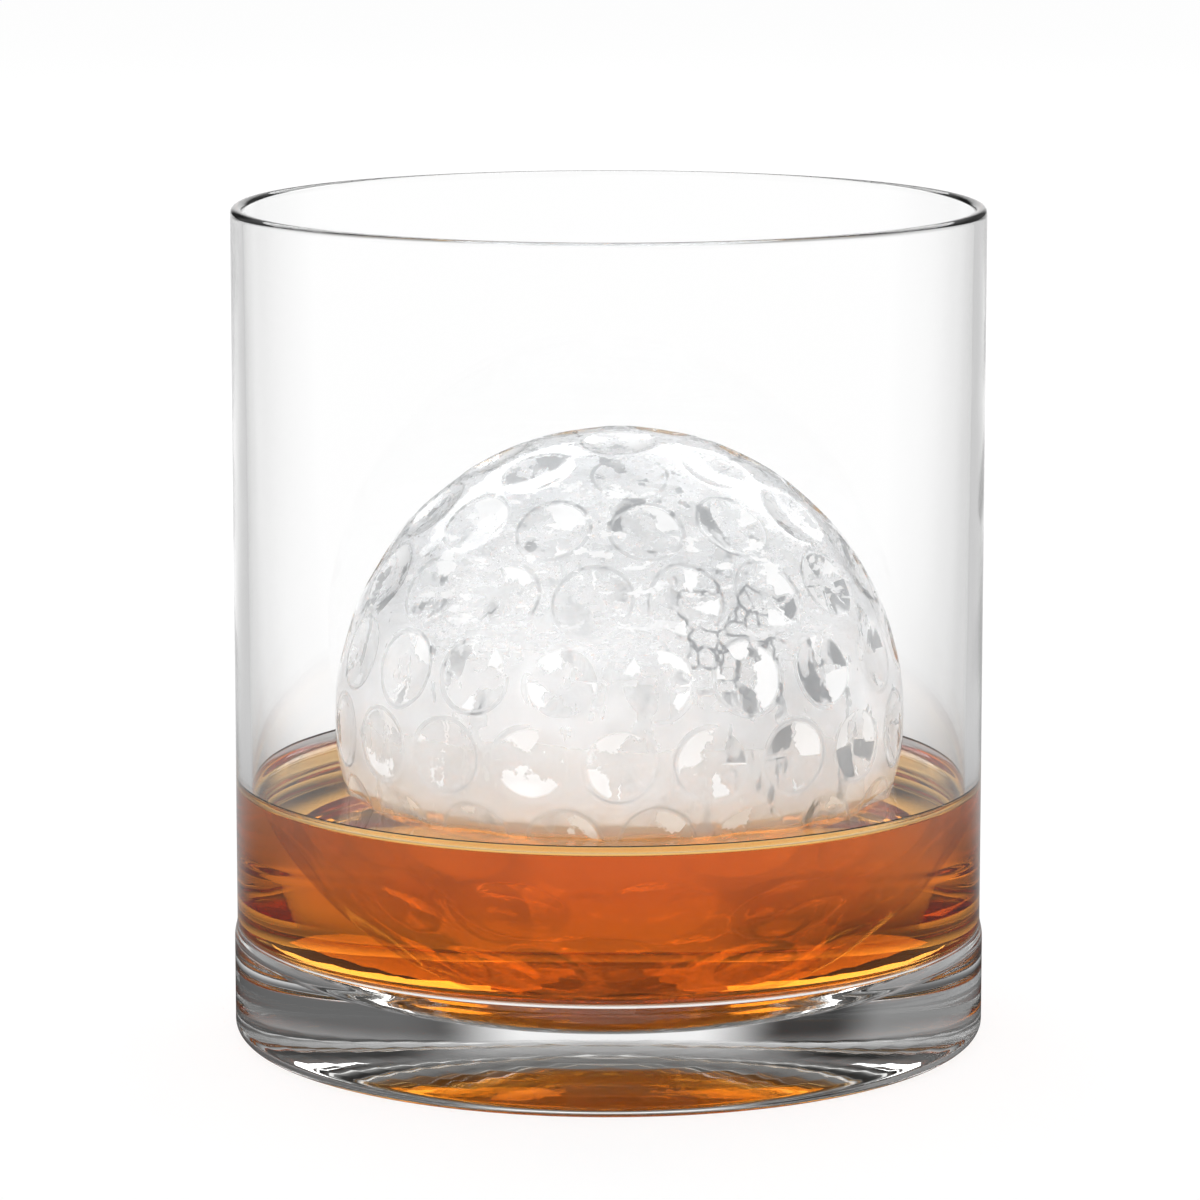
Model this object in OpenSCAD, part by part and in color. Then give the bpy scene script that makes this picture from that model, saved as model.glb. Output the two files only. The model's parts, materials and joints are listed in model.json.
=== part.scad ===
// A straight-walled tumbler that holds an amber drink and a ball of ice with a golf ball's dimples.
// Millimetres, +Z up. The origin is the middle of the foot, on the surface that the tumbler stands on.
// The ball, clear around a white cloud, stands in a hollow of the drink and lifts straight up, out of the mouth.

/* [Tumbler] */
// Outer diameter of the straight wall
tumbler_d = 83; // [78:0.5:96]
// Height from the foot to the top of the rim
tumbler_h = 92.5; // [86:0.5:120]
// Thickness of the wall just above the floor
wall_low = 1.8; // [1.5:0.1:3]
// Thickness of the wall at the rim, which is fully rounded
wall_rim = 1.4; // [1.1:0.1:1.5]
// How far the heavy base stands proud of the wall
heel_proud = 0.3; // [0.1:0.05:0.6]
// Height of the heavy base, up to where it eases into the wall
heel_h = 11; // [9:0.5:14]
// Height of the ease from the base to the wall
heel_ease = 2; // [1:0.5:4]
// Radius of the outer edge under the base
foot_r = 1.6; // [1:0.1:4]
// Width of the flat ring that the tumbler stands on
foot_ring = 3.7; // [2.5:0.1:9]
// Depth of the hollow under the base, inside that ring
punt_h = 2.2; // [0.4:0.1:2.6]

/* [Floor] */
// Height of the dished floor at its middle
floor_mid = 4; // [3.5:0.1:8]
// Radius of the floor's dish
dish_r = 105; // [90:1:300]
// Radius between the floor and the wall
corner_r = 2; // [1:0.1:4]

/* [Ball of ice] */
// Diameter of the ball over the land between the dimples
ball_d = 63.5; // [55:0.5:68]
// How far the ball stands to the right of the tumbler's axis
ball_aside = 1.2; // [0:0.1:2]
// Space between the ball and the floor
ball_rest_gap = 0.2; // [0.1:0.05:0.4]
// Diameter of a dimple
dimple_d = 8.4; // [7:0.1:9]
// Depth of a dimple below the ball's round
dimple_depth = 0.8; // [0.6:0.05:1.2]
// Land between two dimples of a row
dimple_land = 1.5; // [1.2:0.1:3]
// Land between two rows of dimples
row_land = 0.5; // [0.4:0.1:2]
// Thickness of the clear ice around the white cloud inside the ball
clear_shell = 3.2; // [2.4:0.1:6]
// How far the cloud reaches below the middle of the ball
cloud_below = 7; // [0:0.5:12]
// Space between the round of the cloud and the clear ice
cloud_gap = 0.1; // [0.05:0.05:0.3]

/* [Drink] */
// Height of the drink's surface above the foot
drink_level = 27.9; // [20:0.1:30]
// How far the drink climbs the wall at its edge
edge_climb = 1.3; // [0.6:0.1:2]
// Width of the lip at the top of that climb
edge_lip = 0.2; // [0.1:0.05:0.4]
// Space between the drink and the tumbler
drink_gap = 0.15; // [0.1:0.05:0.3]
// Space between the drink and the ball
hollow_gap = 0.2; // [0.1:0.05:0.4]

/* [Hidden] */
$fn = 96;

// Straight steps along each rounded stretch of an outline
arc_steps = 14;
// Fewest dimples that make a row
fewest_in_row = 3;

tumbler_r = tumbler_d / 2;
heel_r = tumbler_r + heel_proud;
rim_r = wall_rim / 2;
inside_r = tumbler_r - wall_low;
mouth_r = tumbler_r - wall_rim;
rim_z = tumbler_h - rim_r;
punt_r = heel_r - foot_r - foot_ring;
punt_curve_r = (punt_r * punt_r + punt_h * punt_h) / (2 * punt_h);
dish_z = floor_mid + dish_r;

ball_r = ball_d / 2;
ball_z = floor_mid + ball_rest_gap + ball_r;
ball_place = [ball_aside, 0, ball_z];
cloud_r = ball_r - clear_shell;

// A dimple is the hollow that a larger sphere leaves
dimple_chord_z = sqrt(ball_r * ball_r - dimple_d * dimple_d / 4);
dimple_below_chord = dimple_depth - (ball_r - dimple_chord_z);
dimple_cut_r = (dimple_d * dimple_d / 4 + dimple_below_chord * dimple_below_chord)
    / (2 * dimple_below_chord);
dimple_cut_z = ball_r - dimple_depth + dimple_cut_r;

// Rows of latitude, from the middle row up to the last one before the pole
row_step = (dimple_d + row_land) / ball_r * 180 / PI;
dimple_step = (dimple_d + dimple_land) / ball_r * 180 / PI;
function in_row(latitude) = floor(360 * cos(latitude) / dimple_step);
row_last = floor(90 / row_step);

// How far each row is turned about the ball's upright axis, as a share of its own dimple step
row_turn = [0, 0.4, 0.7, 0.28, 0.1, 0];
// The side that the first dimple of the middle row faces, which is the front
front = -90;

function arc(centre, radius, from, to) = [
    for (i = [0 : arc_steps])
        let (a = from + (to - from) * i / arc_steps)
        centre + radius * [cos(a), sin(a)]
];

// The floor's dish and the corner that joins it to a wall of the given radius, from the wall inwards.
// The dish is drawn in by the given gap, and so is the corner.
function floor_outline(wall_radius, gap) =
    let (
        round_r = corner_r - gap,
        bowl_r = dish_r - gap,
        corner_x = wall_radius - round_r,
        corner_z = dish_z - sqrt((bowl_r - round_r) * (bowl_r - round_r) - corner_x * corner_x),
        meet = atan2(corner_z - dish_z, corner_x)
    )
    concat(
        arc([corner_x, corner_z], round_r, 0, meet),
        arc([0, dish_z], bowl_r, meet, -90)
    );

// Inner radius of the tumbler's wall at a height, between the corner of its floor and its rim
wall_foot_z = floor_outline(inside_r, 0)[0][1];
function wall_inside(z) =
    inside_r + (mouth_r - inside_r) * (z - wall_foot_z) / (rim_z - wall_foot_z);

// A heavy-based glass: foot, punt, base, straight wall, round rim and dished floor in one turned outline
module tumbler() {
    color([0.86, 0.9, 0.92, 0.35])
    rotate_extrude()
    polygon(concat(
        arc([0, punt_h - punt_curve_r], punt_curve_r, 90, 90 - asin(punt_r / punt_curve_r)),
        arc([heel_r - foot_r, foot_r], foot_r, -90, 0),
        [[heel_r, heel_h], [tumbler_r, heel_h + heel_ease]],
        arc([tumbler_r - rim_r, rim_z], rim_r, 0, 180),
        floor_outline(inside_r, 0)
    ));
}

// The drink fills the tumbler to its level, climbs a little at the wall, and is hollow where the ball is
module drink() {
    lip_z = drink_level + edge_climb;
    lip_r = wall_inside(lip_z) - drink_gap;
    color([0.77, 0.38, 0.12, 0.7])
    difference() {
        rotate_extrude()
        polygon(concat(
            [[0, drink_level]],
            arc([lip_r - edge_lip - edge_climb, lip_z], edge_climb, -90, 0),
            [[lip_r, lip_z]],
            floor_outline(inside_r - drink_gap, drink_gap)
        ));
        translate(ball_place)
        sphere(r = ball_r + hollow_gap);
    }
}

// The part of a dimple's sphere that reaches into the ball on its +X side
module dimple_cut() {
    intersection() {
        translate([dimple_cut_z, 0, 0])
        sphere(r = dimple_cut_r);
        translate([ball_r - 2 * dimple_depth, 0, 0])
        rotate([0, 90, 0])
        cylinder(r = dimple_d / 2 + row_land / 4, h = 3 * dimple_depth);
    }
}

// One row of dimple cuts at a latitude, turned about the ball's upright axis by a share of its step
module dimple_row(latitude, turn) {
    count = in_row(latitude);
    if (count >= fewest_in_row)
        for (i = [0 : count - 1])
            rotate([0, -latitude, front + (i + turn) * 360 / count])
            dimple_cut();
}

// A round about the ball's middle that ends in a flat underside, which stays where it is for any radius
module cloud_round(radius) {
    intersection() {
        sphere(r = radius);
        translate([0, 0, -cloud_below])
        cylinder(r = ball_r, h = 2 * ball_r);
    }
}

// A ball of ice with rows of dimples, the same above and below its middle row, and room for its cloud.
// Its round is turned so that the ends of its axis fall in the front and back dimples.
module ice_ball() {
    color([0.93, 0.96, 0.98, 0.6])
    translate(ball_place)
    difference() {
        rotate([90, 0, 0])
        sphere(r = ball_r);
        for (row = [-row_last : row_last])
            dimple_row(row * row_step, row_turn[abs(row) % len(row_turn)]);
        cloud_round(cloud_r + cloud_gap);
    }
}

// The white cloud of fine bubbles in the upper part of the ball, flat on the clear ice below it
module ice_cloud() {
    color([0.97, 0.98, 0.98])
    translate(ball_place)
    cloud_round(cloud_r);
}

tumbler();
drink();
ice_ball();
ice_cloud();
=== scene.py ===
"""A rocks glass with an amber drink and a dimpled ball of ice, dressed around its fixed frame."""

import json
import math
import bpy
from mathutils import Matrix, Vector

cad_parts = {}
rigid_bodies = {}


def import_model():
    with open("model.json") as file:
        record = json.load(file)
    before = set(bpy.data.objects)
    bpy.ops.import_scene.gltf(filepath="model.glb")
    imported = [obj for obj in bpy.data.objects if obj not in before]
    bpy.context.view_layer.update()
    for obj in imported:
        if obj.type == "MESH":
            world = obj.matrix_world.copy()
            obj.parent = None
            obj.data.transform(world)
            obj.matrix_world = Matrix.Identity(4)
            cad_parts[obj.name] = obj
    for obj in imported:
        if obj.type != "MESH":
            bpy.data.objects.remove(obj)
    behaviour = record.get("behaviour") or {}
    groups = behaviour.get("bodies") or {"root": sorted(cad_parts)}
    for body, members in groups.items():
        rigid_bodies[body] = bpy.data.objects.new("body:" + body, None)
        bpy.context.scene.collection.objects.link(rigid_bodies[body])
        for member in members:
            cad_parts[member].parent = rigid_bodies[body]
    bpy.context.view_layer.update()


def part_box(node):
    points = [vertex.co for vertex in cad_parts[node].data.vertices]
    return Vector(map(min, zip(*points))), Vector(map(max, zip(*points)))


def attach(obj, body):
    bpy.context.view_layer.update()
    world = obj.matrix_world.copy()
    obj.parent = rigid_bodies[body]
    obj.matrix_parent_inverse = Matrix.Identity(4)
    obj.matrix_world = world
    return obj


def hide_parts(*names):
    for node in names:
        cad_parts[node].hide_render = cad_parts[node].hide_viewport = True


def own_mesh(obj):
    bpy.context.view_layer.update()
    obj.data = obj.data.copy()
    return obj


bl_info = {
    "name": "Rocks Glass with Golf Ball Ice",
    "version": (1, 0, 0),
    "blender": (4, 5, 0),
    "location": "View3D > Sidebar > Rocks Glass",
    "description": "Turns a tumbler, pours its drink and freezes a dimpled ball of ice",
    "category": "Object",
}

import bmesh
import bpy
from bpy.props import FloatProperty, FloatVectorProperty, IntProperty, PointerProperty
from mathutils import Vector

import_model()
_, TUMBLER_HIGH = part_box("tumbler")
BALL_LOW, BALL_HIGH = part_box("ice_ball")
CLOUD_LOW, CLOUD_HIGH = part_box("ice_cloud")

MM = 0.001
BALL_CENTRE = (BALL_LOW + BALL_HIGH) / 2
BALL_RADIUS = (BALL_HIGH.z - BALL_LOW.z) / 2
CLOUD_RADIUS = (CLOUD_HIGH.x - CLOUD_LOW.x) / 2

# Refractive indices
GLASS_IOR = 1.52
DRINK_IOR = 1.36
ICE_IOR = 1.31
ICE_COAT_IOR = 1.5

# Colours of the frost on the ice, in linear light; the darkest is for its painted shade and its marks
WHITE_FROST = (0.96, 0.96, 0.96, 1.0)
HAZY_FROST = (0.72, 0.73, 0.73, 1.0)
SHADE_AND_MARK_GREY = (0.22, 0.23, 0.24, 1.0)

# Steps along the curves of an outline, and the distance at which a straight stretch is held flat
ARC_STEPS = 16
RIM_STEPS = 20
PUNT_STEPS = 12
CLIMB_STEPS = 12
EASE_STEPS = 8
FLAT_HOLD = 0.3 * MM

# How far each row of dimples is turned, as a share of its own step, and the side that the first one faces
ROW_TURNS = (0.0, 0.4, 0.7, 0.28, 0.1, 0.0)
FRONT_ANGLE = -90.0
FEWEST_IN_ROW = 3

# Span over which the outline of a dimple wanders
DIMPLE_WANDER = 1.6 * MM

# Subdivisions of the balls that the ice and its cloud grow from, and further cuts of each edge
ROUND_STEPS = 6
BALL_CUTS = 2
CLOUD_CUTS = 1

# Half the height over which the ice goes from washed to frosted at the drink's level
SOAK = 1.5 * MM

# Where the cracks of the ice are, from the ball's middle, as a share of its radius
CRACK_PLACE = Vector((0.35, -0.8, 0.45))

# Name, place, width, depth and power of each lamp, and the point that they face
LAMPS = (
    ("key", (-0.3, -1.05, 0.35), 1.0, 0.5, 2.5),
    ("left_behind", (-0.5, 0.87, 0.75), 0.85, 0.4, 4.0),
    ("right_behind", (0.5, 0.87, 0.75), 0.85, 0.4, 4.0),
)
LAMP_AIM = Vector((0, 0, 0.045))

# Edges of what clear and glossy pieces see of the world, in degrees from straight behind
WINDOW_EDGE = (7.0, 18.0)
BOX_EDGE = (60.0, 80.0)
LEFT_DIM_EDGE = (-34.0, -24.0)
RIGHT_DIM_EDGE = (8.0, 24.0)

# Edge of the sky, as the upward part of a direction, and how bright the sky is
SKY_EDGE = (0.22, 0.5)
SKY_LEVEL = 0.65

# Radius of the floor, and edges of the rings that clear and glossy pieces see of it, all in metres
FLOOR_RADIUS = 6.0
UNDER_EDGE = (0.036, 0.041)
SHADE_EDGE = (0.042, 0.09)
BESIDE_EDGE = (0.075, 0.1)
FAR_EDGE = (0.1, 0.2)

# How far the middle of those rings' bright part lies to the left, in degrees
FLOOR_TURN = 3.0

# Bounces of light, enough for it to get through nested clear pieces
CLEAR_BOUNCES = 32
OTHER_BOUNCES = 12


def length(name, description, millimetres):
    """A length property whose default is written in millimetres."""
    return FloatProperty(
        name=name, description=description, default=millimetres * MM, min=0.0, unit="LENGTH", precision=5
    )


def tint(name, description, colour):
    """A colour property in linear light."""
    return FloatVectorProperty(
        name=name, description=description, default=colour, subtype="COLOR", size=3, min=0.0, max=1.0
    )


class TumblerSizes(bpy.types.PropertyGroup):
    heel_proud: length("Heel proud", "How far the heavy base stands proud of the wall", 0.3)
    heel_height: length("Heel height", "Height of the heavy base", 11.0)
    heel_ease: length("Heel ease", "Height of the ease from the base to the wall", 2.0)
    wall_low: length("Wall at floor", "Thickness of the wall just above the floor", 1.8)
    wall_rim: length("Wall at rim", "Thickness of the wall at its rounded rim", 1.4)
    foot_radius: length("Foot radius", "Radius of the outer edge under the base", 1.6)
    foot_ring: length("Foot ring", "Width of the flat ring that the tumbler stands on", 3.7)
    punt_depth: length("Punt depth", "Depth of the hollow under the base", 2.2)
    floor_middle: length("Floor middle", "Height of the dished floor at its middle", 4.0)
    dish_radius: length("Dish radius", "Radius of the floor's dish", 105.0)
    corner_radius: length("Corner radius", "Radius between the floor and the wall", 2.0)
    steps: IntProperty(name="Steps", description="Steps around a turned piece", default=256, min=16)


class DrinkSizes(bpy.types.PropertyGroup):
    level: length("Level", "Height of the drink's surface above the foot", 27.9)
    climb: length("Climb", "How far the drink climbs the wall at its edge", 1.3)
    wetting: length("Wetting", "How far the drink reaches into the glass, to leave no air", 0.08)
    colour: tint("Colour", "Colour that the drink lets through", (0.938, 0.695, 0.16))
    strength: FloatProperty(name="Strength", description="Absorption per metre", default=100.0, min=0.0)
    level_lifted: length("Level without ball", "Height of the surface when the ball is lifted out", 19.4)


class BallSizes(bpy.types.PropertyGroup):
    dimple_width: length("Dimple width", "Diameter of a dimple", 8.4)
    dimple_depth: length("Dimple depth", "Depth of a dimple below the ball's round", 0.8)
    dimple_land: length("Dimple land", "Land between two dimples of a row", 1.5)
    row_land: length("Row land", "Land between two rows of dimples", 0.5)
    edge_melt: length("Edge melt", "How far melting has rounded the dimples' edges", 0.18)
    surface_melt: length("Surface melt", "Height of the melted unevenness", 0.12)
    cloud_lumps: length("Cloud lumps", "Height of the unevenness of the white cloud inside", 2.4)
    seed: FloatProperty(name="Seed", description="Seed for the lumps of the cloud", default=7.0)


class StageSettings(bpy.types.PropertyGroup):
    camera_distance: FloatProperty(
        name="Camera distance", description="From the axis to the camera", default=0.611, unit="LENGTH"
    )
    camera_height: FloatProperty(
        name="Camera height", description="Of the camera above the floor", default=0.152, unit="LENGTH"
    )
    camera_aside: FloatProperty(
        name="Camera aside", description="Of the camera from the axis", default=-0.00095, unit="LENGTH"
    )
    camera_pitch: FloatProperty(
        name="Camera pitch", description="Downward tilt", default=math.radians(9.62), subtype="ANGLE"
    )
    camera_lens: FloatProperty(name="Camera lens", description="Focal length in millimetres", default=167.4)


class Socket:
    """A shader value: arithmetic on it adds Math nodes."""

    def __init__(self, shade, socket):
        self.shade = shade
        self.socket = socket

    def math(self, operation, *others):
        return self.shade.node("ShaderNodeMath", {"operation": operation}, {
            i: value for i, value in enumerate((self, *others))
        })

    def __add__(self, other):
        return self.math("ADD", other)

    def __sub__(self, other):
        return self.math("SUBTRACT", other)

    def __mul__(self, other):
        return self.math("MULTIPLY", other)

    def __rsub__(self, other):
        return self.shade.node("ShaderNodeMath", {"operation": "SUBTRACT"}, {0: other, 1: self})

    __radd__ = __add__

    def clamp(self):
        return self.shade.node("ShaderNodeClamp", {}, {"Value": self})

    def between(self, low, high, to_low=0.0, to_high=1.0):
        """A smooth step from to_low at low to to_high at high."""
        return self.shade.node(
            "ShaderNodeMapRange",
            {"interpolation_type": "SMOOTHSTEP"},
            {"Value": self, "From Min": low, "From Max": high, "To Min": to_low, "To Max": to_high},
            "Result",
        )


class Shade:
    """Builds one node tree."""

    def __init__(self, tree):
        self.tree = tree
        tree.nodes.clear()

    def node(self, kind, settings=None, inputs=None, output=0):
        node = self.tree.nodes.new(kind)
        for name, value in (settings or {}).items():
            setattr(node, name, value)
        for name, value in (inputs or {}).items():
            self.feed(node.inputs[name], value)
        return Socket(self, node.outputs[output])

    def feed(self, target, value):
        if isinstance(value, Socket):
            self.tree.links.new(value.socket, target)
        else:
            target.default_value = value

    def place(self):
        return self.node("ShaderNodeTexCoord", {}, {}, "Object")

    def path(self, what):
        """What the Light Path node tells of the ray."""
        return self.node("ShaderNodeLightPath", {}, {}, what)

    def plain(self):
        """1 for a ray to a matt surface or straight from the camera, 0 for one that is mirrored or bent."""
        bent = (self.path("Is Glossy Ray") + self.path("Is Transmission Ray")).clamp()
        return 1 - bent * (1 - self.path("Diffuse Depth").clamp())

    def seen(self):
        """1 for what shows straight or through one clear piece, less for what is mirrored in others."""
        return 1 - self.path("Glossy Depth").clamp() * self.deep() * 0.8

    def deep(self):
        """0 for a ray that has crossed one clear piece, 1 for one that has crossed two or more."""
        return self.path("Transmission Depth").between(2.0, 4.0)

    def noise(self, vector, scale, detail=2.0, roughness=0.5):
        return self.node(
            "ShaderNodeTexNoise",
            {},
            {"Vector": vector, "Scale": scale, "Detail": detail, "Roughness": roughness},
        )

    def drawn_out(self, vector, stretch, scale, roughness):
        """Noise whose spots are drawn out along the axes that have a small stretch."""
        drawn = self.node("ShaderNodeVectorMath", {"operation": "MULTIPLY"}, {0: vector, 1: stretch})
        return self.noise(drawn, scale, 3.0, roughness)

    def attribute(self, name, output):
        """What the mesh stores at each point under a name."""
        return self.node("ShaderNodeAttribute", {"attribute_name": name}, {}, output)

    def axes(self, vector):
        split = self.node("ShaderNodeSeparateXYZ", {}, {"Vector": vector})
        return [Socket(self, out) for out in split.socket.node.outputs]

    def bump(self, height, strength, distance):
        return self.node(
            "ShaderNodeBump", {}, {"Height": height, "Strength": strength, "Distance": distance}
        )

    def principled(self, **sockets):
        named = {name.replace("_", " "): value for name, value in sockets.items()}
        return self.node("ShaderNodeBsdfPrincipled", {}, named)

    def mix_colour(self, factor, first, second):
        return self.node(
            "ShaderNodeMix", {"data_type": "RGBA"}, {"Factor": factor, 6: first, 7: second}, 2
        )

    def mix_shader(self, factor, first, second):
        return self.node("ShaderNodeMixShader", {}, {"Fac": factor, 1: first, 2: second})

    def surface(self, shader, volume=None):
        out = self.tree.nodes.new("ShaderNodeOutputMaterial")
        self.feed(out.inputs["Surface"], shader)
        if volume:
            self.feed(out.inputs["Volume"], volume)


def material(name):
    made = bpy.data.materials.new(name)
    made.use_nodes = True
    return made, Shade(made.node_tree)


def clear_glass():
    """Clear glass, a little rippled and smeared, and grey where it is thick."""
    made, shade = material("clear_glass")
    place = shade.place()
    ripple = shade.noise(place, 38.0, 2.0)
    smear = shade.noise(place, 120.0, 3.0).between(0.55, 0.75, 0.0, 0.012)
    glass = shade.principled(
        Base_Color=(1.0, 1.0, 1.0, 1.0),
        Roughness=smear,
        IOR=GLASS_IOR,
        Specular_Tint=(0.35, 0.35, 0.35, 1.0),
        Transmission_Weight=1.0,
        Normal=shade.bump(ripple, 0.15, 0.0004),
    )
    grey = shade.node("ShaderNodeVolumeAbsorption", {}, {"Color": (0.6, 0.62, 0.62, 1.0), "Density": 3.0})
    shade.surface(glass, grey)
    return made


def amber_drink(drink):
    """A clear liquid that is darker and redder the deeper the light goes through it."""
    made, shade = material("amber_drink")
    liquid = shade.principled(
        Base_Color=(1.0, 1.0, 1.0, 1.0),
        Roughness=0.0,
        IOR=DRINK_IOR,
        Specular_Tint=(0.05, 0.05, 0.05, 1.0),
        Transmission_Weight=1.0,
    )
    amber = shade.node(
        "ShaderNodeVolumeAbsorption", {}, {"Color": (*drink.colour, 1.0), "Density": drink.strength}
    )
    shade.surface(liquid, amber)
    return made


def dimple_marks(shade, right, uneven, patch, tall):
    """Painted shadows, painted glints and painted shade lines along the edge of each dimple, each dimple
    turned its own way, with more painted shade to the right.
    """
    across = shade.attribute("dimple", "Fac")
    way = shade.axes(shade.attribute("dimple_way", "Vector"))
    turn, fill, _ = shade.axes(shade.attribute("dimple_draw", "Vector"))
    angle = turn * (2 * math.pi)
    lean = (way[0] + way[1]) * angle.math("COSINE") + way[2] * angle.math("SINE") + uneven
    inside = across.between(0.84, 0.92, 1.0, 0.0)
    shaded = (lean + right.between(6 * MM, 18 * MM) * 0.2).between(0.3, 0.4)
    shadows = inside * shaded * fill.between(0.3, 0.4) * tall.between(0.44, 0.52, 0.2, 1.0)
    glints = inside * lean.between(-0.5, -0.4, 1.0, 0.0)
    # Painted shade lines along the dimples' edges, broken up at random
    rim_shade = across.between(0.9, 0.97) * across.between(0.98, 1.05, 1.0, 0.0) * patch.between(0.42, 0.5)
    return shadows, glints, rim_shade


def ice_cracks(shade, place, cloud, grain):
    """Fine bent cracks in one patch, at the upper right of the ball's front."""
    middle = tuple(BALL_CENTRE + CRACK_PLACE * BALL_RADIUS)
    bend = shade.node("ShaderNodeTexNoise", {}, {"Vector": place, "Scale": 260.0, "Detail": 2.0}, "Color")
    bent = shade.node(
        "ShaderNodeVectorMath", {"operation": "MULTIPLY_ADD"}, {0: bend, 1: (4 * MM,) * 3, 2: place}
    )
    split = shade.node(
        "ShaderNodeTexVoronoi", {"feature": "DISTANCE_TO_EDGE"}, {"Vector": bent, "Scale": 430.0}
    )
    spot = shade.node("ShaderNodeVectorMath", {"operation": "DISTANCE"}, {0: place, 1: middle}, "Value")
    near = (spot + (cloud - 0.5) * 0.03).between(2 * MM, 8 * MM, 1.0, 0.0)
    return split.between(0.0, 0.14, 1.0, 0.0) * grain.between(0.42, 0.56) * near


def clear_ice(drink):
    """Clear ice, thinly frosted above the drink, with painted shade and highlights in its dimples, and
    washed clear below it.
    """
    made, shade = material("clear_ice")
    place = shade.place()
    cloud = shade.noise(place, 75.0, 5.0, 0.6)
    patch = shade.noise(place, 60.0, 2.0)
    wrinkle = shade.noise(place, 190.0, 4.0, 0.6)
    grain = shade.noise(place, 420.0, 3.0, 0.6)
    tall = shade.drawn_out(place, (1.0, 1.0, 0.4), 420.0, 0.6)
    wide = shade.drawn_out(place, (0.4, 0.4, 1.0), 700.0, 0.65)
    x, _, height = shade.axes(place)
    right = x - BALL_CENTRE.x
    above = height - BALL_CENTRE.z
    dry = height.between(drink.level - SOAK, drink.level + SOAK)

    # Dark and bright marks: painted shadows, painted glints and painted rim shade in the dimples, upright
    # strokes, flakes on top, painted white highlights on top and a patch of cracks
    uneven = (wrinkle - 0.5) * 1.8 + (grain - 0.5) * 0.8
    shadows, glints, rim_shade = dimple_marks(shade, right, uneven, patch, tall)
    strokes = tall.between(0.57, 0.61) * cloud.between(0.46, 0.54)
    top = above.between(8 * MM, 20 * MM)
    flakes = wide.between(0.53, 0.57) * top
    # Painted white highlights on top
    highlight_flecks = wide.between(0.38, 0.43, 1.0, 0.0) * top
    cracks = ice_cracks(shade, place, cloud, grain)
    # Painted shade, strokes and flakes are stronger to the right, at the upper left and on top
    upper_left = right.between(-20 * MM, -6 * MM, 1.0, 0.0) * above.between(0.0, 12 * MM)
    shade_weight = right.between(2 * MM, 18 * MM) + upper_left + above.between(14 * MM, 26 * MM)
    shade_weight = shade_weight.clamp() * 0.65 + 0.35
    # All the painted highlights, which leave no dark mark under them
    bright = (glints + highlight_flecks).clamp()
    dark = (shadows + strokes * 0.8 + flakes * 0.4) * shade_weight + rim_shade * 0.6 + cracks * 1.3
    dark = dark.clamp() * (1 - bright)

    # The frost's colour and thickness, which is least at the ball's outline and more near the drink
    haze = cloud.between(0.4, 0.62, 0.0, 0.2) + above.between(10 * MM, 30 * MM, 0.0, 0.3)
    tone = shade.mix_colour(haze.clamp(), WHITE_FROST, HAZY_FROST)
    # The painted shade and the marks darken the frost
    tone = shade.mix_colour(dark * 0.9, tone, SHADE_AND_MARK_GREY)
    edge = (right * right + above * above).math("SQRT").between(24 * MM, 30 * MM)
    low = above.between(-8 * MM, 4 * MM, 0.14, 0.0)
    frost = dry * (0.24 + low - edge * 0.2 + (dark + bright) * 0.6) + 0.02

    bump = shade.bump(grain, 0.2, 0.0003)
    ice = shade.principled(
        Base_Color=(1.0, 1.0, 1.0, 1.0),
        Roughness=0.015,
        IOR=ICE_IOR,
        Specular_Tint=(0.6, 0.6, 0.6, 1.0),
        Transmission_Weight=1.0,
        Normal=bump,
    )
    white = shade.principled(
        Base_Color=tone,
        Roughness=0.35,
        IOR=ICE_IOR,
        Coat_Weight=1.0,
        Coat_IOR=ICE_COAT_IOR,
        Coat_Roughness=0.03,
        Normal=bump,
    )
    clear = shade.node("ShaderNodeBsdfTransparent")
    washed = shade.mix_shader((1 - dry) * 0.75, ice, clear)
    shade.surface(shade.mix_shader(frost, washed, white))
    return made


def cloudy_ice():
    """White ice full of fine bubbles."""
    made, shade = material("cloudy_ice")
    place = shade.place()
    thick = shade.noise(place, 75.0, 5.0, 0.6)
    tone = shade.mix_colour(thick.between(0.42, 0.64), (0.97, 0.985, 1.0, 1.0), (0.86, 0.88, 0.9, 1.0))
    grain = shade.noise(place, 500.0, 3.0)
    shade.surface(shade.principled(Base_Color=tone, Roughness=0.7, Normal=shade.bump(grain, 0.3, 0.0004)))
    return made


def add_piece(name, mesh, mat, body, node):
    """Links a finished mesh, rides it on its body and lets it stand for a node."""
    piece = bpy.data.objects.new(name, mesh)
    bpy.context.collection.objects.link(piece)
    mesh.materials.clear()
    mesh.materials.append(mat)
    mesh.polygons.foreach_set("use_smooth", [True] * len(mesh.polygons))
    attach(piece, body)
    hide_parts(node)
    return piece


def arc(centre, radius, start, end, steps):
    """Points of an outline, as (distance from the axis, height), between two angles in degrees."""
    return [
        (
            centre[0] + radius * math.cos(math.radians(start + (end - start) * i / steps)),
            centre[1] + radius * math.sin(math.radians(start + (end - start) * i / steps)),
        )
        for i in range(steps + 1)
    ]


def supported(points, support):
    """Adds a point close to each end of a long straight stretch, so that it is shaded flat."""
    out = [points[0]]
    for a, b in zip(points, points[1:]):
        gap = math.dist(a, b)
        if gap > 4 * support:
            for share in (support / gap, 1 - support / gap):
                out.append((a[0] + (b[0] - a[0]) * share, a[1] + (b[1] - a[1]) * share))
        out.append(b)
    return out


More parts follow.
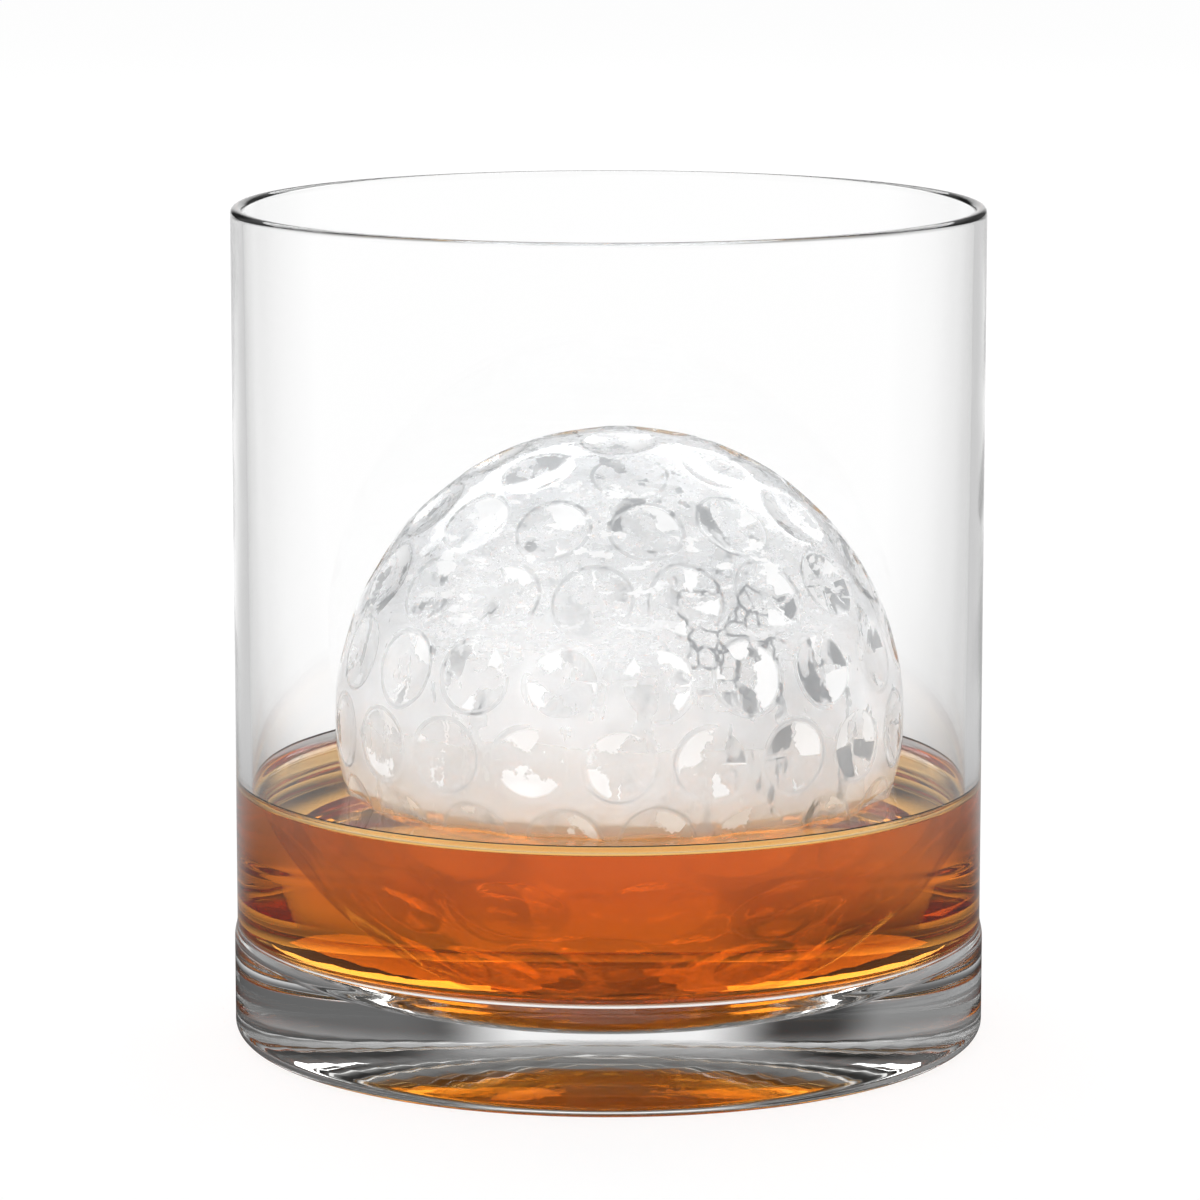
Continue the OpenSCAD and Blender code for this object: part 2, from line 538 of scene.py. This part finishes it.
def turned(name, outline, steps):
    """A closed mesh of rings from an outline that starts and ends on the axis."""
    verts, rings, faces = [], [], []
    for radius, height in outline:
        ring = []
        count = 1 if radius < 1e-7 else steps
        for k in range(count):
            angle = 2 * math.pi * k / steps
            ring.append(len(verts))
            verts.append((radius * math.cos(angle), radius * math.sin(angle), height))
        rings.append(ring)
    for low, high in zip(rings, rings[1:]):
        for k in range(steps):
            n = (k + 1) % steps
            if len(low) == 1:
                faces.append((low[0], high[n], high[k]))
            elif len(high) == 1:
                faces.append((low[k], low[n], high[0]))
            else:
                faces.append((low[k], low[n], high[n], high[k]))
    mesh = bpy.data.meshes.new(name)
    mesh.from_pydata(verts, [], faces)
    mesh.update()
    return mesh


def floor_outline(sizes, wall_radius, grow, steps):
    """The floor's corner and dish, from the wall inwards, moved into the glass by grow."""
    round_r = sizes.corner_radius + grow
    bowl_r = sizes.dish_radius + grow
    dish_z = sizes.floor_middle + sizes.dish_radius
    corner_x = wall_radius - round_r
    corner_z = dish_z - math.sqrt((bowl_r - round_r) ** 2 - corner_x**2)
    meet = math.degrees(math.atan2(corner_z - dish_z, corner_x))
    corner = arc((corner_x, corner_z), round_r, 0, meet, steps)
    dish = arc((0, dish_z), bowl_r, meet, -90, steps)
    dish[-1] = (0.0, dish_z - bowl_r)
    return corner + dish[1:]


class ROCKSGLASS_OT_tumbler(bpy.types.Operator):
    """Turn the glass tumbler"""

    bl_idname = "rocksglass.tumbler"
    bl_label = "Tumbler"

    def execute(self, context):
        sizes = context.scene.rocks_tumbler
        top = TUMBLER_HIGH.z
        wall_r = TUMBLER_HIGH.x - sizes.heel_proud
        heel_r = TUMBLER_HIGH.x
        punt_r = heel_r - sizes.foot_radius - sizes.foot_ring
        punt_curve = (punt_r**2 + sizes.punt_depth**2) / (2 * sizes.punt_depth)
        punt_end = 90 - math.degrees(math.asin(punt_r / punt_curve))
        rim_r = sizes.wall_rim / 2
        heel_top = sizes.heel_height
        outline = arc((0, sizes.punt_depth - punt_curve), punt_curve, 90, punt_end, PUNT_STEPS)
        outline[0] = (0.0, sizes.punt_depth)
        foot_r = sizes.foot_radius
        outline += arc((heel_r - foot_r, foot_r), foot_r, -90, 0, ARC_STEPS)
        for i in range(EASE_STEPS + 1):
            share = i / EASE_STEPS
            ease = share * share * (3 - 2 * share)
            outline.append((heel_r - sizes.heel_proud * ease, heel_top + sizes.heel_ease * share))
        outline += arc((wall_r - rim_r, top - rim_r), rim_r, 0, 180, RIM_STEPS)
        outline += floor_outline(sizes, wall_r - sizes.wall_low, 0.0, ARC_STEPS)
        mesh = turned("glass_tumbler", supported(outline, FLAT_HOLD), sizes.steps)
        add_piece("glass_tumbler", mesh, clear_glass(), "tumbler", "tumbler")
        return {"FINISHED"}


class ROCKSGLASS_OT_drink(bpy.types.Operator):
    """Pour the amber drink"""

    bl_idname = "rocksglass.drink"
    bl_label = "Drink"

    def execute(self, context):
        sizes = context.scene.rocks_tumbler
        drink = context.scene.rocks_drink
        wall_r = TUMBLER_HIGH.x - sizes.heel_proud - sizes.wall_low + drink.wetting
        floor = floor_outline(sizes, wall_r, drink.wetting, ARC_STEPS)
        foot_z = floor[0][1]
        draft = (sizes.wall_low - sizes.wall_rim) / (TUMBLER_HIGH.z - sizes.wall_rim / 2 - foot_z)
        lip_z = drink.level + drink.climb
        lip_r = wall_r + draft * (lip_z - foot_z)
        outline = floor[::-1] + [(lip_r, lip_z)]
        outline += arc((lip_r - drink.climb, lip_z), drink.climb, 0, -90, CLIMB_STEPS)[1:]
        outline.append((0.0, drink.level))
        mesh = turned("amber_drink", supported(outline, FLAT_HOLD), sizes.steps)
        piece = add_piece("amber_drink", mesh, amber_drink(drink), "drink", "drink")
        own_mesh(piece)
        return {"FINISHED"}


def dimple_centres(ball):
    """Centres of the dimples on the ball's round, in rows of latitude turned as the frame's are."""
    to_degrees = 180 / math.pi / BALL_RADIUS
    row_step = (ball.dimple_width + ball.row_land) * to_degrees
    dimple_step = (ball.dimple_width + ball.dimple_land) * to_degrees
    last = int(90 / row_step)
    centres = []
    for row in range(-last, last + 1):
        latitude = math.radians(row * row_step)
        count = int(360 * math.cos(latitude) / dimple_step)
        if count < FEWEST_IN_ROW:
            continue
        for i in range(count):
            turn = ROW_TURNS[abs(row) % len(ROW_TURNS)]
            around = math.radians(FRONT_ANGLE + (i + turn) * 360 / count)
            flat = math.cos(latitude)
            out = Vector((flat * math.cos(around), flat * math.sin(around), math.sin(latitude)))
            centres.append(BALL_CENTRE + BALL_RADIUS * out)
    return centres


class Grow:
    """Builds one Geometry Nodes tree, with named inputs that a modifier sets."""

    def __init__(self, name, inputs):
        self.tree = bpy.data.node_groups.new(name, "GeometryNodeTree")
        face = self.tree.interface
        face.new_socket("Geometry", in_out="INPUT", socket_type="NodeSocketGeometry")
        self.ids = {}
        for label, kind in inputs.items():
            self.ids[label] = face.new_socket(label, in_out="INPUT", socket_type=kind).identifier
        face.new_socket("Geometry", in_out="OUTPUT", socket_type="NodeSocketGeometry")
        self.inlet = self.tree.nodes.new("NodeGroupInput")
        self.outlet = self.tree.nodes.new("NodeGroupOutput")

    def given(self, label):
        return self.inlet.outputs[label]

    def node(self, kind, settings=None, inputs=None, output=0):
        node = self.tree.nodes.new(kind)
        for name, value in (settings or {}).items():
            setattr(node, name, value)
        for name, value in (inputs or {}).items():
            if isinstance(value, bpy.types.NodeSocket):
                self.tree.links.new(value, node.inputs[name])
            else:
                node.inputs[name].default_value = value
        return node.outputs[output]

    def math(self, operation, *values):
        return self.node("ShaderNodeMath", {"operation": operation}, dict(enumerate(values)))

    def vector(self, operation, *values, output=0):
        return self.node("ShaderNodeVectorMath", {"operation": operation}, dict(enumerate(values)), output)

    def end(self, geometry):
        whole = self.node("GeometryNodeRealizeInstances", {}, {"Geometry": geometry})
        dressed = self.node(
            "GeometryNodeSetMaterial", {}, {"Geometry": whole, "Material": self.given("Material")}
        )
        self.tree.links.new(dressed, self.outlet.inputs["Geometry"])

    def grown(self, name, mesh, values):
        """The tree's result on a mesh, as a plain mesh."""
        carrier = bpy.data.objects.new(name + "_carrier", mesh)
        bpy.context.collection.objects.link(carrier)
        modifier = carrier.modifiers.new("grow", "NODES")
        modifier.node_group = self.tree
        for label, value in values.items():
            modifier[self.ids[label]] = value
        graph = bpy.context.evaluated_depsgraph_get()
        made = bpy.data.meshes.new_from_object(carrier.evaluated_get(graph))
        made.name = name
        carrier.modifiers.remove(modifier)
        bpy.data.objects.remove(carrier)
        return made


def dimpled_tree():
    """Geometry Nodes that press dimples into a ball around given centres and let its surface melt."""
    grow = Grow("press_dimples", {
        "Centres": "NodeSocketObject",
        "Middle": "NodeSocketVector",
        "Radius": "NodeSocketFloat",
        "Dimple Width": "NodeSocketFloat",
        "Dimple Depth": "NodeSocketFloat",
        "Edge Melt": "NodeSocketFloat",
        "Surface Melt": "NodeSocketFloat",
        "Material": "NodeSocketMaterial",
    })
    place = grow.node("GeometryNodeInputPosition")
    out = grow.vector("NORMALIZE", grow.vector("SUBTRACT", place, grow.given("Middle")))
    spots = grow.node("GeometryNodeObjectInfo", {}, {"Object": grow.given("Centres")}, "Geometry")
    wander = grow.node("ShaderNodeTexNoise", {}, {"Vector": place, "Scale": 90.0, "Detail": 2.0}, "Color")
    wander = grow.vector("SCALE", grow.vector("SUBTRACT", wander, (0.5, 0.5, 0.5)))
    wander.node.inputs["Scale"].default_value = DIMPLE_WANDER
    probe = grow.vector("ADD", place, wander)
    near = grow.node(
        "GeometryNodeProximity",
        {"target_element": "POINTS"},
        {0: spots, "Sample Position": probe},
        "Distance",
    )
    centre = near.node.outputs["Position"]
    half = grow.math("MULTIPLY", grow.given("Dimple Width"), 0.5)
    share = grow.math("DIVIDE", near, half)
    way = grow.vector("DIVIDE", grow.vector("SUBTRACT", probe, centre), half)
    draw = grow.node("ShaderNodeTexWhiteNoise", {}, {"Vector": centre}, "Color")
    bowl = grow.math("SUBTRACT", 1.0, grow.math("MULTIPLY", share, share))
    bowl = grow.math("MULTIPLY", bowl, grow.given("Dimple Depth"))
    bowl = grow.math("SMOOTH_MAX", bowl, 0.0, grow.given("Edge Melt"))
    rough = grow.node("ShaderNodeTexNoise", {}, {"Vector": place, "Scale": 160.0, "Detail": 3.0})
    rough = grow.math("MULTIPLY", rough, grow.given("Surface Melt"))
    reach = grow.math("SUBTRACT", grow.given("Radius"), grow.math("ADD", bowl, rough))
    moved = grow.vector("SCALE", out)
    grow.tree.links.new(reach, moved.node.inputs["Scale"])
    put = grow.vector("ADD", grow.given("Middle"), moved)
    marked = grow.given("Geometry")
    for label, kind, value in (
        ("dimple", "FLOAT", share),
        ("dimple_way", "FLOAT_VECTOR", way),
        ("dimple_draw", "FLOAT_VECTOR", draw),
    ):
        marked = grow.node(
            "GeometryNodeStoreNamedAttribute",
            {"data_type": kind},
            {"Geometry": marked, "Name": label, "Value": value},
        )
    grow.end(grow.node("GeometryNodeSetPosition", {}, {"Geometry": marked, "Position": put}))
    return grow


def cloud_tree():
    """Geometry Nodes that make a round uneven and flat below, inside its first outline."""
    grow = Grow("lumpy_cloud", {
        "Middle": "NodeSocketVector",
        "Radius": "NodeSocketFloat",
        "Underside": "NodeSocketFloat",
        "Lumps": "NodeSocketFloat",
        "Seed": "NodeSocketFloat",
        "Material": "NodeSocketMaterial",
    })
    place = grow.node("GeometryNodeInputPosition")
    out = grow.vector("NORMALIZE", grow.vector("SUBTRACT", place, grow.given("Middle")))
    lump = grow.node(
        "ShaderNodeTexNoise",
        {"noise_dimensions": "4D"},
        {"Vector": place, "W": grow.given("Seed"), "Scale": 110.0, "Detail": 4.0},
    )
    reach = grow.math("SUBTRACT", grow.given("Radius"), grow.math("MULTIPLY", lump, grow.given("Lumps")))
    moved = grow.vector("SCALE", out)
    grow.tree.links.new(reach, moved.node.inputs["Scale"])
    put = grow.vector("ADD", grow.given("Middle"), moved)
    x, y, z = grow.node("ShaderNodeSeparateXYZ", {}, {"Vector": put}).node.outputs
    raised = grow.math("MAXIMUM", z, grow.given("Underside"))
    put = grow.node("ShaderNodeCombineXYZ", {}, {"X": x, "Y": y, "Z": raised})
    grow.end(grow.node(
        "GeometryNodeSetPosition", {}, {"Geometry": grow.given("Geometry"), "Position": put}
    ))
    return grow


def round_mesh(name, cuts):
    """A ball of even triangles about the ice ball's middle."""
    build = bmesh.new()
    bmesh.ops.create_icosphere(build, subdivisions=ROUND_STEPS, radius=BALL_RADIUS)
    bmesh.ops.subdivide_edges(build, edges=build.edges[:], cuts=cuts, use_grid_fill=True)
    bmesh.ops.triangulate(build, faces=build.faces[:])
    bmesh.ops.translate(build, verts=build.verts[:], vec=BALL_CENTRE)
    mesh = bpy.data.meshes.new(name)
    build.to_mesh(mesh)
    build.free()
    return mesh


class ROCKSGLASS_OT_ice_ball(bpy.types.Operator):
    """Freeze the dimpled ball of ice"""

    bl_idname = "rocksglass.ice_ball"
    bl_label = "Ice ball"

    def execute(self, context):
        ball = context.scene.rocks_ball
        points = bpy.data.meshes.new("dimple_centres")
        points.from_pydata([tuple(c) for c in dimple_centres(ball)], [], [])
        marks = bpy.data.objects.new("dimple_centres", points)
        context.collection.objects.link(marks)
        ice = clear_ice(context.scene.rocks_drink)
        mesh = dimpled_tree().grown("ice_ball_dimpled", round_mesh("ball_round", BALL_CUTS), {
            "Centres": marks,
            "Middle": tuple(BALL_CENTRE),
            "Radius": BALL_RADIUS,
            "Dimple Width": ball.dimple_width,
            "Dimple Depth": ball.dimple_depth,
            "Edge Melt": ball.edge_melt,
            "Surface Melt": ball.surface_melt,
            "Material": ice,
        })
        bpy.data.objects.remove(marks)
        add_piece("ice_ball_dimpled", mesh, ice, "ice_ball", "ice_ball")
        return {"FINISHED"}


class ROCKSGLASS_OT_ice_cloud(bpy.types.Operator):
    """Grow the white cloud inside the ball of ice"""

    bl_idname = "rocksglass.ice_cloud"
    bl_label = "Ice cloud"

    def execute(self, context):
        ball = context.scene.rocks_ball
        white = cloudy_ice()
        mesh = cloud_tree().grown("ice_cloud_lumpy", round_mesh("cloud_round", CLOUD_CUTS), {
            "Middle": tuple(BALL_CENTRE),
            "Radius": CLOUD_RADIUS,
            "Underside": CLOUD_LOW.z,
            "Lumps": ball.cloud_lumps,
            "Seed": ball.seed,
            "Material": white,
        })
        add_piece("ice_cloud_lumpy", mesh, white, "ice_ball", "ice_cloud")
        return {"FINISHED"}


def compass(shade, place):
    """The angle from straight behind, in degrees to the right, and a level that is less in front."""
    x, y, _ = shade.axes(place)
    around = x.math("ARCTAN2", y)
    return around * (180 / math.pi), around.math("COSINE").between(-0.7, -0.1, 0.25, 1.0)


class ROCKSGLASS_OT_stage(bpy.types.Operator):
    """Set the floor, the light and the camera"""

    bl_idname = "rocksglass.stage"
    bl_label = "Stage"

    def execute(self, context):
        settings = context.scene.rocks_stage
        self.camera(context, settings)
        self.world(context)
        self.floor(context)
        self.lamps(context)
        context.scene.view_settings.view_transform = "Standard"
        paths = context.scene.cycles
        paths.blur_glossy = 0.0
        paths.max_bounces = CLEAR_BOUNCES
        paths.transmission_bounces = CLEAR_BOUNCES
        paths.diffuse_bounces = OTHER_BOUNCES
        paths.glossy_bounces = OTHER_BOUNCES
        return {"FINISHED"}

    def camera(self, context, settings):
        data = bpy.data.cameras.new("camera")
        data.lens = settings.camera_lens
        data.sensor_width = 36.0
        data.clip_end = 20.0
        camera = bpy.data.objects.new("camera", data)
        camera.location = (settings.camera_aside, -settings.camera_distance, settings.camera_height)
        camera.rotation_euler = (math.pi / 2 - settings.camera_pitch, 0, 0)
        context.collection.objects.link(camera)
        context.scene.camera = camera

    def world(self, context):
        """Plain white light, and for clear and glossy pieces a bright window with dark sides."""
        world = bpy.data.worlds.new("studio")
        world.use_nodes = True
        context.scene.world = world
        shade = Shade(world.node_tree)
        place = shade.node("ShaderNodeTexCoord", {}, {}, "Generated")
        height = shade.axes(place)[2]
        right, front = compass(shade, place)
        aside = right.math("ABSOLUTE")
        window = aside.between(*WINDOW_EDGE, 1.0, 0.0)
        boxes = aside.between(*BOX_EDGE) * shade.deep()
        dim = right.between(*LEFT_DIM_EDGE, 0.28, 0.05) + right.between(*RIGHT_DIM_EDGE, 0.0, 0.1)
        over = height.between(*SKY_EDGE)
        around = (window + dim).clamp() * (1 - over) + over * SKY_LEVEL
        level = (around * front + boxes * 0.8).clamp() * shade.seen()
        plain = shade.plain()
        back = shade.node("ShaderNodeBackground", {}, {
            "Color": (1, 1, 1, 1), "Strength": level * (1 - plain) + plain
        })
        out = shade.tree.nodes.new("ShaderNodeOutputWorld")
        shade.feed(out.inputs["Surface"], back)

    def floor(self, context):
        """A white floor that glows, which clear and glossy pieces see darker beside and below the glass, as
        a painted shadow of it.
        """
        build = bmesh.new()
        bmesh.ops.create_circle(build, cap_ends=True, segments=96, radius=FLOOR_RADIUS)
        mesh = bpy.data.meshes.new("floor")
        build.to_mesh(mesh)
        build.free()
        made, shade = material("floor")
        place = shade.place()
        x, y, _ = shade.axes(place)
        reach = (x * x + y * y).math("SQRT")
        plain = shade.plain()
        right, front = compass(shade, place)
        aside = (right + FLOOR_TURN).math("ABSOLUTE")
        far = reach.between(*FAR_EDGE)
        # Painted shadow on the floor just around the glass, deeper to the sides
        dark_near = reach.between(*SHADE_EDGE, 1.0, 0.0) * (0.1 + aside.between(8.0, 25.0) * 0.6)
        close_by = aside.between(5.0, 22.0, 1.0, 0.42) * (1 - dark_near)
        close_by = close_by * aside.between(35.0, 60.0, 1.0, 0.35)
        beside = reach.between(*BESIDE_EDGE)
        # Painted shadow under the glass, for rays that have crossed only one clear piece
        under = reach.between(*UNDER_EDGE, 1.0, 0.0)
        distant = aside.between(13.0, 30.0, 1.0, 0.6) + aside.between(50.0, 80.0, 0.0, 0.4)
        sides = close_by * (front * beside + 1 - beside) * shade.seen() * (1 - far) + distant * far
        sides = (sides + aside.between(*BOX_EDGE) * shade.deep() * 0.5).clamp()
        # Painted shadow under the glass for matt surfaces, though not straight from the camera
        lit = 1 - under * 0.6 * (1 - shade.path("Is Camera Ray"))
        bent = under * (0.1 + shade.deep() * 0.9) + (1 - under) * sides
        level = plain * lit + (1 - plain) * bent
        matt = shade.node("ShaderNodeBsdfDiffuse", {}, {"Color": (0.9, 0.9, 0.9, 1)})
        white = shade.node("ShaderNodeEmission", {}, {"Color": (1, 1, 1, 1), "Strength": level})
        shade.surface(shade.mix_shader(1 - plain * 0.15, matt, white))
        mesh.materials.append(made)
        floor = bpy.data.objects.new("floor", mesh)
        context.collection.objects.link(floor)

    def lamps(self, context):
        for name, place, width, depth, power in LAMPS:
            data = bpy.data.lights.new(name, "AREA")
            data.shape = "RECTANGLE"
            data.size = width
            data.size_y = depth
            data.energy = power
            lamp = bpy.data.objects.new(name, data)
            lamp.location = place
            aim = LAMP_AIM - Vector(place)
            lamp.rotation_euler = aim.to_track_quat("-Z", "Y").to_euler()
            context.collection.objects.link(lamp)


class ROCKSGLASS_PT_sidebar(bpy.types.Panel):
    bl_idname = "ROCKSGLASS_PT_sidebar"
    bl_label = "Rocks Glass"
    bl_space_type = "VIEW_3D"
    bl_region_type = "UI"
    bl_category = "Rocks Glass"

    def draw(self, context):
        for kind in OPERATORS:
            self.layout.operator(kind.bl_idname)
        for owner in SETTINGS:
            group = getattr(context.scene, owner)
            for name in group.bl_rna.properties.keys():
                if name not in ("rna_type", "name"):
                    self.layout.prop(group, name)


OPERATORS = (
    ROCKSGLASS_OT_stage,
    ROCKSGLASS_OT_tumbler,
    ROCKSGLASS_OT_ice_ball,
    ROCKSGLASS_OT_ice_cloud,
    ROCKSGLASS_OT_drink,
)
SETTINGS = {
    "rocks_tumbler": TumblerSizes,
    "rocks_drink": DrinkSizes,
    "rocks_ball": BallSizes,
    "rocks_stage": StageSettings,
}
CLASSES = (*SETTINGS.values(), *OPERATORS, ROCKSGLASS_PT_sidebar)


def register():
    for kind in CLASSES:
        bpy.utils.register_class(kind)
    for name, kind in SETTINGS.items():
        setattr(bpy.types.Scene, name, PointerProperty(type=kind))


def unregister():
    for name in SETTINGS:
        delattr(bpy.types.Scene, name)
    for kind in reversed(CLASSES):
        bpy.utils.unregister_class(kind)


def main():
    register()
    for call in (
        bpy.ops.rocksglass.stage,
        bpy.ops.rocksglass.tumbler,
        bpy.ops.rocksglass.ice_ball,
        bpy.ops.rocksglass.ice_cloud,
        bpy.ops.rocksglass.drink,
    ):
        call()


if __name__ == "__main__":
    main()
